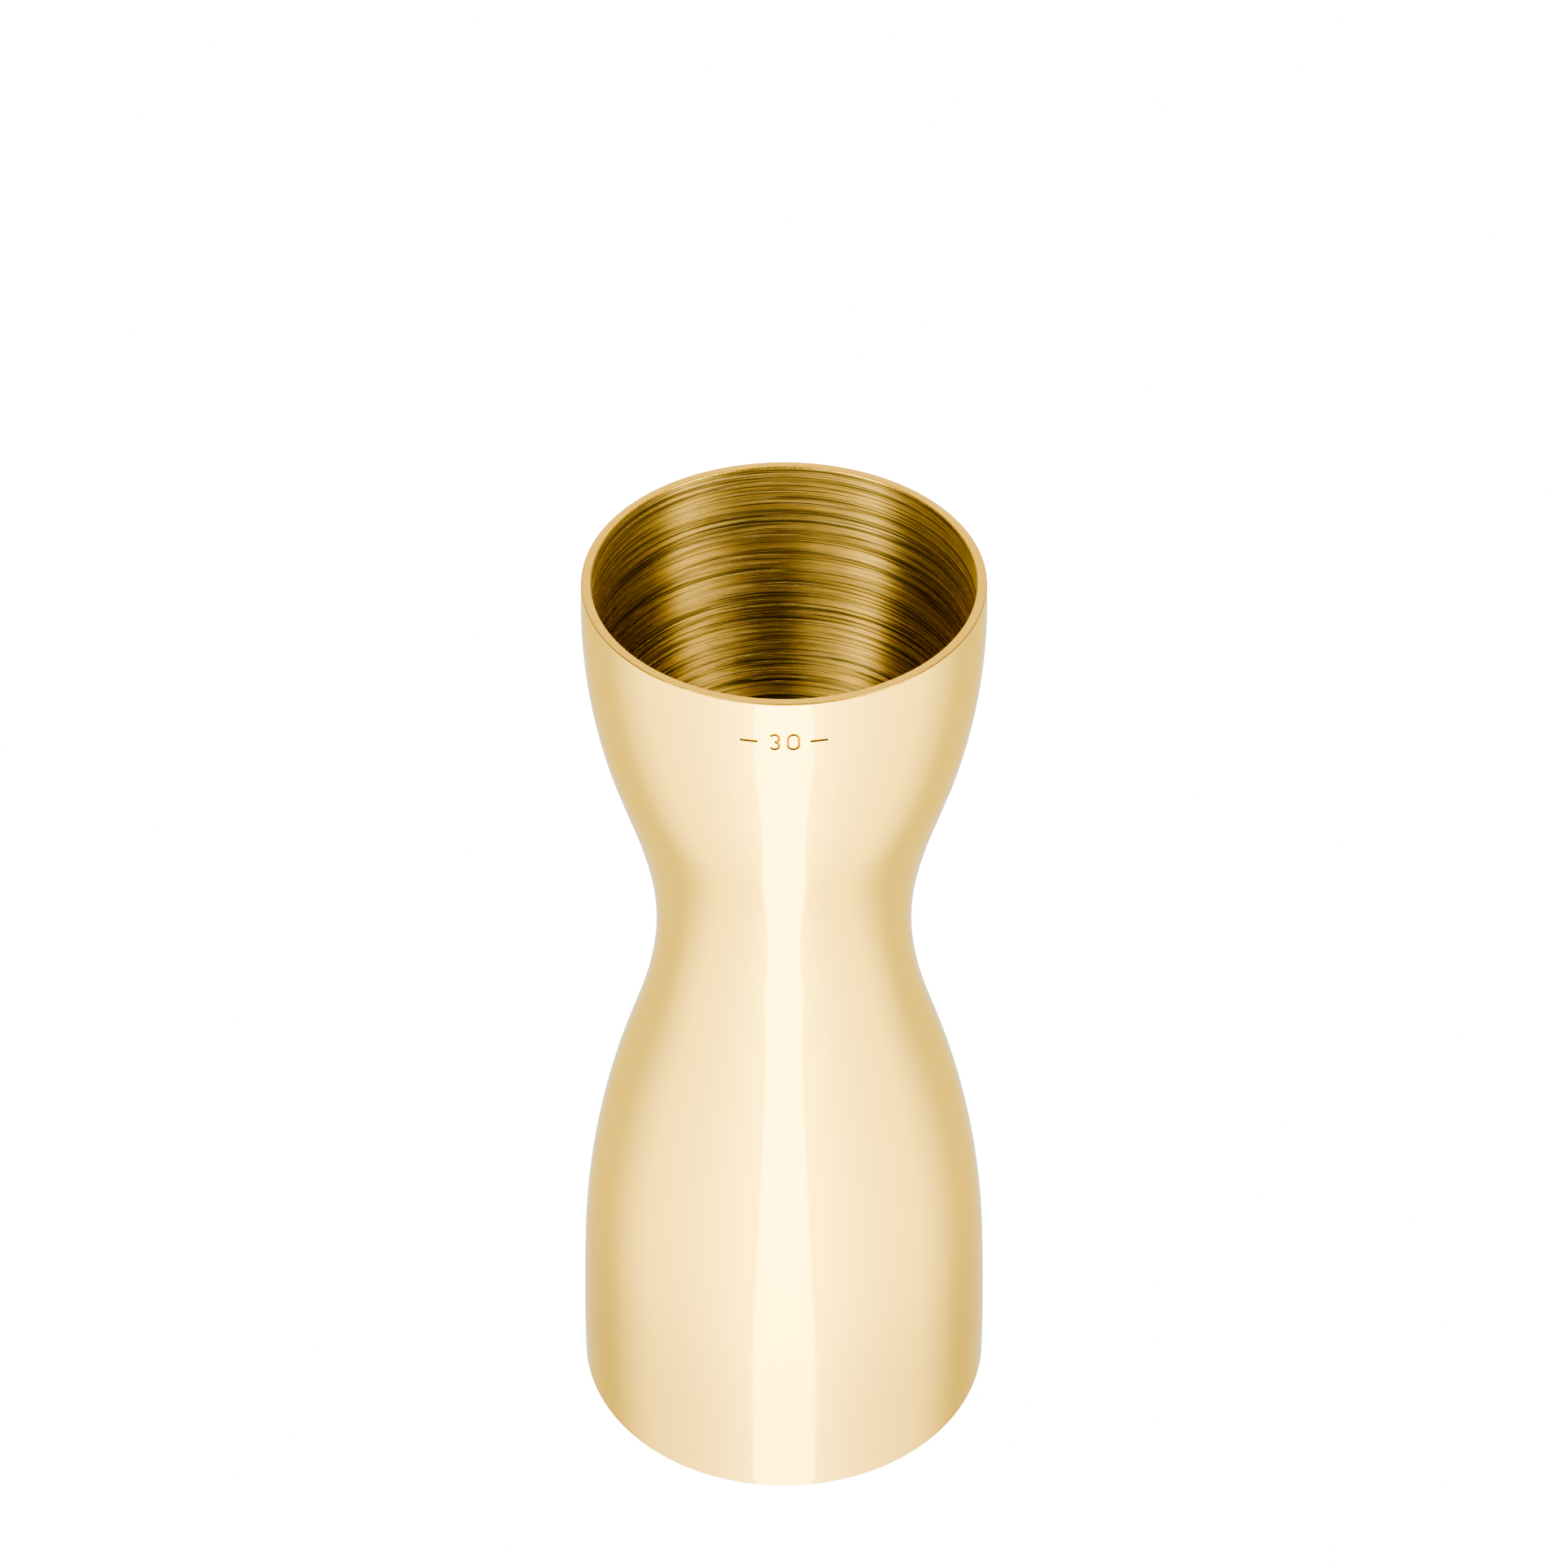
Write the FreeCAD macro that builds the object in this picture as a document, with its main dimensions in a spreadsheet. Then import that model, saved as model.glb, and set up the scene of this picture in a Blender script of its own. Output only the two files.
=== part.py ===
import FreeCAD, Part
import math
import os
import Sketcher

# Double-ended bar jigger: two drawn cups, base to base, on a hollow turned collar.
# Frame: +Z up, origin at the centre of the lower rim, which is the foot it stands on. Millimetres.
#
# A bench teardown gives five pieces:
#   lower_cup        drawn bell, holds 60 ml when it is turned up; its rim is the foot
#   upper_cup        drawn bell, holds 30 ml, with the engraved capacity mark
#   waist_collar     turned ring that spaces the two cup floors and makes the waist
#   lower_seam_weld  ring of weld in the V between the lower cup and the collar, dressed flush
#   upper_seam_weld  the same at the upper cup

DRIVING = {
    # whole object
    "height": 105.0,
    "wall": 1.0,
    "rim_round": 0.15,
    "floor_fillet": 3.0,
    # lower cup: two arcs and a straight flank, from the foot to the shoulder
    "base_radius": 21.95,
    "base_curve": 375.0,
    "belly_curve": 106.0,
    "lower_flank": 17.85,
    "lower_shoulder": 14.35,
    # upper cup: a straight flank and one arc, from the shoulder to the rim
    "rim_radius": 19.7,
    "bell_curve": 69.0,
    "upper_flank": 17.05,
    "upper_shoulder": 14.44,
    # waist
    "waist_height": 62.7,
    "waist_radius": 13.1,
    "collar_length": 16.0,
    "collar_end": 13.87,
    "collar_bore": 10.6,
    "bore_chamfer": 0.4,
    "weld_reach": 2.5,
    "weld_root": 12.0,
    # engraved capacity mark: the number 30 between two dashes
    "mark_depth": 0.12,
    "mark_height": 100.6,
    "digit_height": 2.0,
    "digit_width": 1.3,
    "digit_pitch": 1.8,
    "stroke": 0.26,
    "dash_length": 1.7,
    "dash_place": 3.35,
}

# The collar's two end faces, which the cup floors rest on, and where the cup walls begin.
LOWER_FACE = "(dims.waist_height - dims.collar_length / 2)"
UPPER_FACE = "(dims.waist_height + dims.collar_length / 2)"
LOWER_SHOULDER = f"({LOWER_FACE} - dims.weld_reach)"
UPPER_SHOULDER = f"({UPPER_FACE} + dims.weld_reach)"

# The sketcher's numbers for the points of an edge and for its own axes.
START, END, CENTRE = 1, 2, 3
ORIGIN, ACROSS_AXIS, UP_AXIS = (-1, 1), -1, -2

# Below and above the waist: name, height of the collar's face, height where the cup wall begins.
CUPS = {-1: ("lower", LOWER_FACE, LOWER_SHOULDER), 1: ("upper", UPPER_FACE, UPPER_SHOULDER)}


def new_sheet(doc):
    """The spreadsheet of driving dimensions; every size below is bound to one of its cells."""
    sheet = doc.addObject("Spreadsheet::Sheet", "dims")
    for row, (alias, value) in enumerate(DRIVING.items(), start=1):
        sheet.set(f"A{row}", alias)
        sheet.set(f"B{row}", str(value))
        sheet.setAlias(f"B{row}", alias)
    doc.recompute()
    return sheet


def new_body(doc, name):
    body = doc.addObject("PartDesign::Body", name)
    body.Label = name
    body.Placement = FreeCAD.Placement()
    return body


def point(x, y):
    return FreeCAD.Vector(x, y, 0)


class Profile:
    """A sketch on a body's XZ plane: x is the radius and y is the height above the foot.

    The edges are drawn roughly, and the constraints give them their true size and place."""

    def __init__(self, body, name):
        self.body = body
        self.sketch = body.newObject("Sketcher::SketchObject", name)
        planes = {f.Role: f for f in body.Origin.OriginFeatures}
        self.sketch.AttachmentSupport = [(planes["XZ_Plane"], "")]
        self.sketch.MapMode = "FlatFace"

    def line(self, start, end, construction=False):
        return self.sketch.addGeometry(Part.LineSegment(point(*start), point(*end)), construction)

    def arc(self, centre, start, end):
        """An arc that runs anticlockwise from start to end."""
        circle = Part.Circle(point(*centre), FreeCAD.Vector(0, 0, 1), 1.0)
        circle.Radius = (point(*start) - point(*centre)).Length
        first, last = circle.parameter(point(*start)), circle.parameter(point(*end))
        return self.sketch.addGeometry(Part.ArcOfCircle(circle, first, last), False)

    def mark(self, where):
        """A construction point."""
        return self.sketch.addGeometry(Part.Point(point(*where)), True)

    def rule(self, kind, *where):
        """A constraint with no size."""
        return self.sketch.addConstraint(Sketcher.Constraint(kind, *where))

    def size(self, kind, *where, rough, formula):
        """A constraint whose size is bound to the sheet."""
        index = self.sketch.addConstraint(Sketcher.Constraint(kind, *where, rough))
        self.sketch.setExpression(f"Constraints[{index}]", formula)

    def place(self, edge, end, radius, height):
        """Sets how far a point is from the axis and from the foot. Each is (rough, formula)."""
        self.size("DistanceX", *ORIGIN, edge, end, rough=radius[0], formula=radius[1])
        self.size("DistanceY", *ORIGIN, edge, end, rough=height[0], formula=height[1])

    def join(self, *joints):
        """Joins the ends of neighbouring edges: (edge, end, edge, end) for each joint."""
        for joint in joints:
            self.rule("Coincident", *joint)

    def lean(self, flank, side, angle):
        """Tilts a flank, drawn towards the waist, by the sheet's angle from the vertical."""
        turn = f"{angle} * 1 deg"
        formula = f"90 deg + {turn}" if side < 0 else f"-90 deg - {turn}"
        self.size("Angle", flank, rough=math.radians(-side * 107.0), formula=formula)

    def revolve(self, kind, name):
        """Turns the section once round the vertical axis, to add or to cut."""
        feature = self.body.newObject(f"PartDesign::{kind}", name)
        feature.Profile = self.sketch
        feature.ReferenceAxis = (self.sketch, ["V_Axis"])
        feature.Angle = 360.0
        self.sketch.Visibility = False
        return feature


def lower_bell(profile, inset, bevelled):
    """The lower cup's outline moved inwards by inset, open end down, closed along the axis."""
    base = profile.arc((-353.0, 0.0), (21.9, 0.0), (21.5, 17.7))
    belly = profile.arc((-84.3, 12.9), (21.5, 17.7), (16.5, 45.4))
    flank = profile.line((16.5, 45.4), (14.3, 52.2))
    mouth = profile.line((0.0, 0.0), (21.9, 0.0))
    axis = profile.line((0.0, 54.7), (0.0, 0.0))
    profile.join((axis, END, mouth, START), (mouth, END, base, START))
    profile.rule("Coincident", mouth, START, *ORIGIN)
    profile.rule("Horizontal", mouth)
    profile.size("DistanceX", *ORIGIN, base, START, rough=21.9, formula=f"dims.base_radius - {inset}")
    profile.rule("PointOnObject", base, CENTRE, ACROSS_AXIS)
    profile.size("Radius", base, rough=375.0, formula=f"dims.base_curve - {inset}")
    profile.size("Radius", belly, rough=106.0, formula=f"dims.belly_curve - {inset}")
    profile.rule("Tangent", base, END, belly, START)
    profile.rule("Tangent", belly, END, flank, START)
    profile.lean(flank, -1, "dims.lower_flank")
    profile.rule("Vertical", axis)
    close_floor(profile, flank, axis, -1, inset, bevelled)


def upper_bell(profile, inset, bevelled):
    """The upper cup's outline moved inwards by inset, open end up, closed along the axis."""
    flank = profile.line((16.8, 80.7), (14.4, 73.2))
    bell = profile.arc((-49.2, 100.9), (16.8, 80.7), (19.7, 105.0))
    mouth = profile.line((0.0, 105.0), (19.7, 105.0))
    axis = profile.line((0.0, 70.7), (0.0, 105.0))
    profile.join((axis, END, mouth, START), (mouth, END, bell, END))
    profile.rule("PointOnObject", mouth, START, UP_AXIS)
    profile.rule("Horizontal", mouth)
    profile.place(
        bell, END, (19.7, f"dims.rim_radius - {inset}"), (105.0, "dims.height"))
    profile.size("Radius", bell, rough=69.0, formula=f"dims.bell_curve - {inset}")
    profile.rule("Tangent", bell, START, flank, START)
    profile.lean(flank, 1, "dims.upper_flank")
    profile.rule("Vertical", axis)
    close_floor(profile, flank, axis, 1, inset, bevelled)


def close_floor(profile, flank, axis, side, inset, bevelled):
    """Draws the floor of a cup and the corner between the floor and the flank.

    The outside has a straight bevel that leaves room for the weld; the inside has a fillet."""
    name, face, shoulder = CUPS[side]
    rough_face = 62.7 + side * 8.0
    floor = profile.line((0.0, rough_face), (11.0, rough_face))
    profile.join((axis, START, floor, START))
    profile.rule("Horizontal", floor)
    if bevelled:
        corner = profile.line((12.0, rough_face), (14.4, rough_face + side * 2.5))
        profile.join((floor, END, corner, START), (corner, END, flank, END))
        profile.place(floor, END, (12.0, "dims.weld_root"), (rough_face, face))
        profile.place(
            flank, END, (14.4, f"dims.{name}_shoulder"), (rough_face + side * 2.5, shoulder))
        return
    low, high = (9.5, rough_face + side * 1.0), (12.3, rough_face + side * 3.1)
    centre = (9.5, rough_face + side * 4.0)
    corner = profile.arc(centre, *((low, high) if side > 0 else (high, low)))
    floor_end, flank_end = (START, END) if side > 0 else (END, START)
    profile.rule("Tangent", floor, END, corner, floor_end)
    profile.rule("Tangent", flank, END, corner, flank_end)
    profile.size("Radius", corner, rough=3.0, formula="dims.floor_fillet")
    profile.size(
        "DistanceY", *ORIGIN, floor, START,
        rough=rough_face + side * 1.0, formula=f"{face} + ({side}) * {inset}")
    edge = profile.mark((13.4, rough_face + side * 2.8))
    lean = f"dims.{name}_flank * 1 deg"
    profile.place(
        edge, START,
        (13.4, f"dims.{name}_shoulder - {inset} * cos({lean})"),
        (rough_face + side * 2.8, f"{shoulder} + ({side}) * {inset} * sin({lean})"))
    profile.rule("PointOnObject", edge, START, flank)


def circles(shape, wanted):
    """The names of the shape's circular edges that pass a test on their circle."""
    names = []
    for index, edge in enumerate(shape.Edges, start=1):
        if isinstance(edge.Curve, Part.Circle) and wanted(edge.Curve):
            names.append(f"Edge{index}")
    return names


def dress(body, kind, name, edges, setting, formula):
    """Adds a fillet or a chamfer to the body's newest feature."""
    base = body.Tip
    feature = body.newObject(f"PartDesign::{kind}", name)
    feature.Base = (base, edges)
    feature.setExpression(setting, formula)


def make_cup(doc, side, draw, rim_height):
    """A drawn cup: the outside turned as one solid, then hollowed, then the rim edges rounded."""
    name = CUPS[side][0]
    body = new_body(doc, f"{name}_cup")
    outside = Profile(body, f"{name}_outside")
    draw(outside, "0", True)
    outside.revolve("Revolution", f"{name}_blank")
    doc.recompute()
    cavity = Profile(body, f"{name}_cavity")
    draw(cavity, "dims.wall", False)
    hollow = cavity.revolve("Groove", f"{name}_hollow")
    doc.recompute()
    print(f"{name} cup holds {hollow.AddSubShape.Volume / 1000:.1f} ml to the brim")
    rim = circles(body.Tip.Shape, lambda circle: abs(circle.Center.z - rim_height) < 0.001)
    dress(body, "Fillet", f"{name}_rim_round", rim, "Radius", "dims.rim_round")
    doc.recompute()
    return body


def make_collar(doc):
    """The turned ring: concave outside, straight bore, and a small chamfer at each end of it."""
    body = new_body(doc, "waist_collar")
    profile = Profile(body, "collar_section")
    outside = profile.arc((55.0, 62.7), (13.9, 70.7), (13.9, 54.7))
    below = profile.line((13.9, 54.7), (10.6, 54.7))
    bore = profile.line((10.6, 54.7), (10.6, 70.7))
    above = profile.line((10.6, 70.7), (13.9, 70.7))
    profile.join(
        (outside, END, below, START), (below, END, bore, START),
        (bore, END, above, START), (above, END, outside, START))
    profile.rule("Horizontal", below)
    profile.rule("Horizontal", above)
    profile.rule("Vertical", bore)
    profile.place(outside, START, (13.9, "dims.collar_end"), (70.7, UPPER_FACE))
    profile.place(outside, END, (13.9, "dims.collar_end"), (54.7, LOWER_FACE))
    profile.size("DistanceX", *ORIGIN, bore, START, rough=10.6, formula="dims.collar_bore")
    rise, half = "(dims.collar_end - dims.waist_radius)", "(dims.collar_length / 2)"
    profile.size(
        "Radius", outside, rough=42.0, formula=f"({half} ^ 2 + {rise} ^ 2) / (2 * {rise})")
    profile.revolve("Revolution", "collar_ring")
    doc.recompute()
    bore_radius = DRIVING["collar_bore"]
    ends = circles(body.Tip.Shape, lambda circle: abs(circle.Radius - bore_radius) < 0.001)
    dress(body, "Chamfer", "bore_chamfers", ends, "Size", "dims.bore_chamfer")


def make_weld(doc, side):
    """A ring of weld that fills the V between a cup's bevel and the collar's end face.

    Its outside runs on smoothly from the cup's flank and ends at the collar's edge."""
    name, face, shoulder = CUPS[side]
    low, high = 62.7 + side * 8.0, 62.7 + side * 10.5
    body = new_body(doc, f"{name}_seam_weld")
    profile = Profile(body, f"{name}_weld_section")
    top, bottom = ((14.4, high), (13.9, low)) if side > 0 else ((13.9, low), (14.4, high))
    outside = profile.arc((27.7 + side * 3.4, low - 0.95 - side * 1.65), top, bottom)
    cup_end, collar_end = (START, END) if side > 0 else (END, START)
    along_collar = profile.line((12.0, low), (13.9, low))
    along_cup = profile.line((14.4, high), (12.0, low))
    profile.join(
        (along_collar, END, outside, collar_end), (outside, cup_end, along_cup, START),
        (along_cup, END, along_collar, START))
    profile.place(outside, collar_end, (13.9, "dims.collar_end"), (low, face))
    profile.place(outside, cup_end, (14.4, f"dims.{name}_shoulder"), (high, shoulder))
    profile.rule("Horizontal", along_collar)
    profile.size("DistanceX", *ORIGIN, along_collar, START, rough=12.0, formula="dims.weld_root")
    flank = profile.line((16.0, high + side * 4.8), (14.4, high), construction=True)
    profile.rule("Tangent", flank, END, outside, cup_end)
    profile.lean(flank, side, f"dims.{name}_flank")
    profile.size("Distance", flank, rough=5.0, formula="2 * dims.weld_reach")
    profile.revolve("Revolution", f"{name}_weld_ring")


def slot(profile, radius, rough):
    """A closed upright slot for the nought: two half rounds and two straight sides."""
    place = "(dims.digit_pitch / 2)"
    reach = "((dims.digit_height - dims.digit_width) / 2)"
    top = profile.arc((0.9, 101.0), (0.9 + rough, 101.0), (0.9 - rough, 101.0))
    left = profile.line((0.9 - rough, 101.0), (0.9 - rough, 100.2))
    bottom = profile.arc((0.9, 100.2), (0.9 - rough, 100.2), (0.9 + rough, 100.2))
    right = profile.line((0.9 + rough, 100.2), (0.9 + rough, 101.0))
    loop = (top, left, bottom, right)
    for edge, following in zip(loop, loop[1:] + loop[:1]):
        profile.rule("Tangent", edge, END, following, START)
    profile.place(top, CENTRE, (0.9, place), (101.0, f"dims.mark_height + {reach}"))
    profile.place(bottom, CENTRE, (0.9, place), (100.2, f"dims.mark_height - {reach}"))
    profile.size("Radius", top, rough=rough, formula=radius)
    profile.rule("Equal", top, bottom)


def nought(profile):
    slot(profile, "dims.digit_width / 2", 0.65)
    slot(profile, "dims.digit_width / 2 - dims.stroke", 0.39)


def bowl(profile, side):
    """One of the two open rounds of the three. They share the stroke in the middle."""
    height = 100.6 + side * 0.4
    first, last = (-90, 150) if side > 0 else (-150, 90)
    bend = "((dims.digit_height - dims.stroke) / 4)"
    rounds = []
    for sign, rough in ((1, 0.56), (-1, 0.3)):
        ends = [
            (rough * math.cos(math.radians(turn)) - 0.9, rough * math.sin(math.radians(turn)) + height)
            for turn in (first, last)]
        round_edge = profile.arc((-0.9, height), *ends)
        profile.size(
            "Radius", round_edge, rough=rough, formula=f"{bend} + ({sign}) * dims.stroke / 2")
        rounds.append((round_edge, ends))
    (outer, outer_ends), (inner, inner_ends) = rounds
    profile.rule("Coincident", outer, CENTRE, inner, CENTRE)
    profile.place(
        outer, CENTRE,
        (-0.9, "-dims.digit_pitch / 2"), (height, f"dims.mark_height + ({side}) * {bend}"))
    for end, index, turn in ((START, 0, first), (END, 1, last)):
        cap = profile.line(inner_ends[index], outer_ends[index])
        profile.join((cap, START, inner, end), (cap, END, outer, end))
        profile.size("Angle", cap, rough=math.radians(turn), formula=f"{turn} deg")
        profile.rule("PointOnObject", outer, CENTRE, cap)


def dash(profile, side):
    """A level dash beside the number."""
    left, right = side * 3.35 - 0.85, side * 3.35 + 0.85
    corners = ((left, 100.4), (right, 100.4), (right, 100.8), (left, 100.8))
    edges = [profile.line(a, b) for a, b in zip(corners, corners[1:] + corners[:1])]
    for edge, following in zip(edges, edges[1:] + edges[:1]):
        profile.join((edge, END, following, START))
    for index, edge in enumerate(edges):
        profile.rule("Vertical" if index % 2 else "Horizontal", edge)
    middle = f"({side}) * dims.dash_place"
    profile.place(
        edges[0], START,
        (left, f"{middle} - dims.dash_length / 2"), (100.4, "dims.mark_height - dims.stroke / 2"))
    profile.place(
        edges[2], START,
        (right, f"{middle} + dims.dash_length / 2"), (100.8, "dims.mark_height + dims.stroke / 2"))


STROKES = {
    "left_dash": lambda profile: dash(profile, -1),
    "three_top": lambda profile: bowl(profile, 1),
    "three_bottom": lambda profile: bowl(profile, -1),
    "nought": nought,
    "right_dash": lambda profile: dash(profile, 1),
}


def engrave(doc, cup):
    """Cuts the mark to an even depth: each stroke runs forward from the middle of the cup,
    and loses all of it that lies deeper than the engraving."""
    tool = new_body(doc, "capacity_mark")
    tool.AllowCompound = True
    for name, draw in STROKES.items():
        profile = Profile(tool, name)
        draw(profile)
        pad = tool.newObject("PartDesign::Pad", f"{name}_pad")
        pad.Profile = profile.sketch
        pad.setExpression("Length", "dims.base_radius")
        profile.sketch.Visibility = False
        doc.recompute()
    core = Profile(tool, "uncut_core")
    upper_bell(core, "dims.mark_depth", False)
    core.revolve("Groove", "keep_core")
    doc.recompute()
    cut = cup.newObject("PartDesign::Boolean", "engraving")
    cut.setObjects([tool])
    cut.Type = "Cut"


def check(doc, names):
    """Stops if an object failed to build, a sketch is loose or a piece is not one valid solid."""
    failed = [item.Name for item in doc.Objects if {"Invalid", "Error"} & set(item.State)]
    sketches = doc.findObjects("Sketcher::SketchObject")
    loose = [sketch.Name for sketch in sketches if not sketch.FullyConstrained]
    if failed or loose:
        raise RuntimeError(f"failed: {failed}, not fully constrained: {loose}")
    for name in names:
        shape = doc.getObject(name).Shape
        if shape.isNull() or not shape.isValid() or len(shape.Solids) != 1:
            raise RuntimeError(f"{name} is not one valid solid")
        print(f"{name}: {shape.Volume / 1000:.2f} cubic cm")


def build():
    doc = FreeCAD.newDocument("bar_jigger")
    new_sheet(doc)
    make_cup(doc, -1, lower_bell, 0.0)
    upper_cup = make_cup(doc, 1, upper_bell, DRIVING["height"])
    engrave(doc, upper_cup)
    make_collar(doc)
    make_weld(doc, -1)
    make_weld(doc, 1)
    doc.recompute()
    check(doc, NODES)
    os.makedirs("parts", exist_ok=True)
    for name in NODES:
        doc.getObject(name).Shape.exportStep(f"parts/{name}.step")


NODES = ("lower_cup", "upper_cup", "waist_collar", "lower_seam_weld", "upper_seam_weld")
build()
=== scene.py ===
# %% [markdown]
# # Bar jigger
#
# A slim double-ended spirit measure. Two bells are drawn from 1 mm stainless sheet, set base to
# base on a short turned collar, welded, dressed flush, polished outside and brushed inside, and
# then plated in a pale gold. The small bell on top holds 30 ml, the large one below holds 60 ml.
#
# Everything is a body of revolution, so each piece starts as half of its section, drawn as a chain
# of edges, and is spun once round the vertical axis. The frame that is loaded here fixes the sizes.

# %% Load the frame
import bpy
import bmesh
import math
from mathutils import Matrix, Vector


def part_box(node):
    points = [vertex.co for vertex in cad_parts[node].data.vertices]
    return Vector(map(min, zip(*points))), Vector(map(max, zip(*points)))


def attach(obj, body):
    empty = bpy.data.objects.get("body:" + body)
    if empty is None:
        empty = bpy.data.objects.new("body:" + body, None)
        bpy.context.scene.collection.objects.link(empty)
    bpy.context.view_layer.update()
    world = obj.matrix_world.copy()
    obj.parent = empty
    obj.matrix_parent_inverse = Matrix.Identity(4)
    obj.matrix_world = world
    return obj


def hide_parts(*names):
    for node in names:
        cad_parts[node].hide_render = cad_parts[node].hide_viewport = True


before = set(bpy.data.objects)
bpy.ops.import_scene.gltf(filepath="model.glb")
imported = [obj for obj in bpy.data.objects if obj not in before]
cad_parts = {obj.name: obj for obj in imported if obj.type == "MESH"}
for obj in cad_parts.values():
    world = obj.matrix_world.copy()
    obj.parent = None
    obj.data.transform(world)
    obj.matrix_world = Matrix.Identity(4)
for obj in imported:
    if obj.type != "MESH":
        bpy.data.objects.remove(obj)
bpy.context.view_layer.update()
print("nodes:", sorted(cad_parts))

# %% [markdown]
# ## Sizes
#
# Heights and end radii come from the frame's own boxes. The other sizes repeat the CAD model's, so
# that both have the same outline, apart from LIP_ROUND: the outer edge of the upper rim is a little
# crisper here. All are written in millimetres, and MM turns them to metres.

# %% Heights, radii and curves
MM = 0.001
WALL = 1.0 * MM
RIM_ROUND = 0.15 * MM
LIP_ROUND = 0.12 * MM
FLOOR_FILLET = 3.0 * MM
BASE_CURVE = 375.0 * MM
BELLY_CURVE = 106.0 * MM
BELL_CURVE = 69.0 * MM
LOWER_LEAN = math.radians(17.85)
UPPER_LEAN = math.radians(17.05)
WELD_ROOT = 12.0 * MM
WAIST_RADIUS = 13.1 * MM
COLLAR_BORE = 10.6 * MM
BORE_CHAMFER = 0.4 * MM
RIM_RADIUS = 19.7 * MM


def extent(name):
    """The widest radius, the lowest height and the highest height of a node."""
    low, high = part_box(name)
    return high[0], low[2], high[2]


BASE_RADIUS, FOOT, LOWER_FACE = extent("lower_cup")
_, UPPER_FACE, HEIGHT = extent("upper_cup")
LOWER_SHOULDER, LOWER_WELD_EDGE, _ = extent("lower_seam_weld")
UPPER_SHOULDER, _, UPPER_WELD_EDGE = extent("upper_seam_weld")
print(f"height {HEIGHT / MM:.1f} mm, foot radius {BASE_RADIUS / MM:.2f} mm, floors at "
      f"{LOWER_FACE / MM:.1f} and {UPPER_FACE / MM:.1f} mm")

# %% [markdown]
# ## Drawing a section
#
# A section is a chain of edges in the XZ plane: x is the radius and z the height. A straight run
# is an extruded vertex. A curve is a vertex spun about the curve's own centre, which gives a true
# arc with as many steps as it needs, and keeps the highlights of a mirror finish smooth. When the
# chain is done, the whole of it is spun round the Z axis.

# %% A chain of straight runs and arcs
SHARP = math.radians(25)
FACETS = 256
TOUCHING = 0.001 * MM


def shade_smooth(bm):
    """Smooth faces, with a crisp line only where two of them meet at more than 25 degrees."""
    for face in bm.faces:
        face.smooth = True
    for edge in bm.edges:
        edge.smooth = edge.calc_face_angle(0.0) < SHARP


class Section:
    """Half of a piece's section, drawn from its first point to its last."""

    def __init__(self, radius, height):
        self.bm = bmesh.new()
        self.tip = self.bm.verts.new((radius, 0.0, height))

    def line(self, radius, height, steps=1):
        """A straight run to a point, in equal steps."""
        start, goal = self.tip.co.copy(), Vector((radius, 0.0, height))
        for step in range(1, steps + 1):
            grown = bmesh.ops.extrude_vert_indiv(self.bm, verts=[self.tip])
            self.tip = grown["verts"][0]
            self.tip.co = start.lerp(goal, step / steps)

    def follow(self, profile, height, steps):
        """A run of short lines to a height, along a function that gives the radius."""
        start = self.tip.co.z
        for step in range(1, steps + 1):
            level = start + (height - start) * step / steps
            self.line(profile(level), level)

    def arc(self, centre, radius, height, steps):
        """An arc about a centre to a point, the short way round."""
        start = Vector((self.tip.co.x - centre[0], self.tip.co.z - centre[1]))
        goal = Vector((radius - centre[0], height - centre[1]))
        turned = bmesh.ops.spin(
            self.bm, geom=[self.tip], cent=(centre[0], 0.0, centre[1]), axis=(0, 1, 0),
            angle=start.angle_signed(goal), steps=steps)
        self.tip = turned["geom_last"][0]

    def turn(self, name):
        """Spins the section round the Z axis into a closed piece with outward faces."""
        bmesh.ops.spin(
            self.bm, geom=self.bm.verts[:] + self.bm.edges[:], cent=(0, 0, 0), axis=(0, 0, 1),
            angle=math.tau, steps=FACETS, use_merge=True)
        bmesh.ops.remove_doubles(self.bm, verts=self.bm.verts[:], dist=TOUCHING)
        bmesh.ops.recalc_face_normals(self.bm, faces=self.bm.faces[:])
        shade_smooth(self.bm)
        mesh = bpy.data.meshes.new(name)
        self.bm.to_mesh(mesh)
        self.bm.free()
        piece = bpy.data.objects.new(name, mesh)
        bpy.context.scene.collection.objects.link(piece)
        return piece


# %% [markdown]
# ## Where the curves meet
#
# The lower bell is a long shallow arc, a tighter belly arc and a straight flank; the upper bell is
# a flank and one arc. Each meets the next at a tangent, as a turned chuck would make them, so the
# centres follow from the sizes. The inside is the same set of curves moved in by the wall, about
# the same centres.

# %% Centres of the lower bell's arcs
LOWER_OUT = Vector((math.cos(LOWER_LEAN), math.sin(LOWER_LEAN)))
LOWER_EDGE = Vector((LOWER_SHOULDER, LOWER_WELD_EDGE))
BASE_CENTRE = Vector((BASE_RADIUS - BASE_CURVE, FOOT))
spread = (LOWER_OUT.dot(LOWER_EDGE - BASE_CENTRE) - BELLY_CURVE) / (BASE_CURVE - BELLY_CURVE)
BELLY_ANGLE = LOWER_LEAN - math.acos(spread)
BELLY_OUT = Vector((math.cos(BELLY_ANGLE), math.sin(BELLY_ANGLE)))
BELLY_CENTRE = BASE_CENTRE + (BASE_CURVE - BELLY_CURVE) * BELLY_OUT
print("belly arc centre, mm:", [round(value / MM, 2) for value in BELLY_CENTRE])

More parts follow.
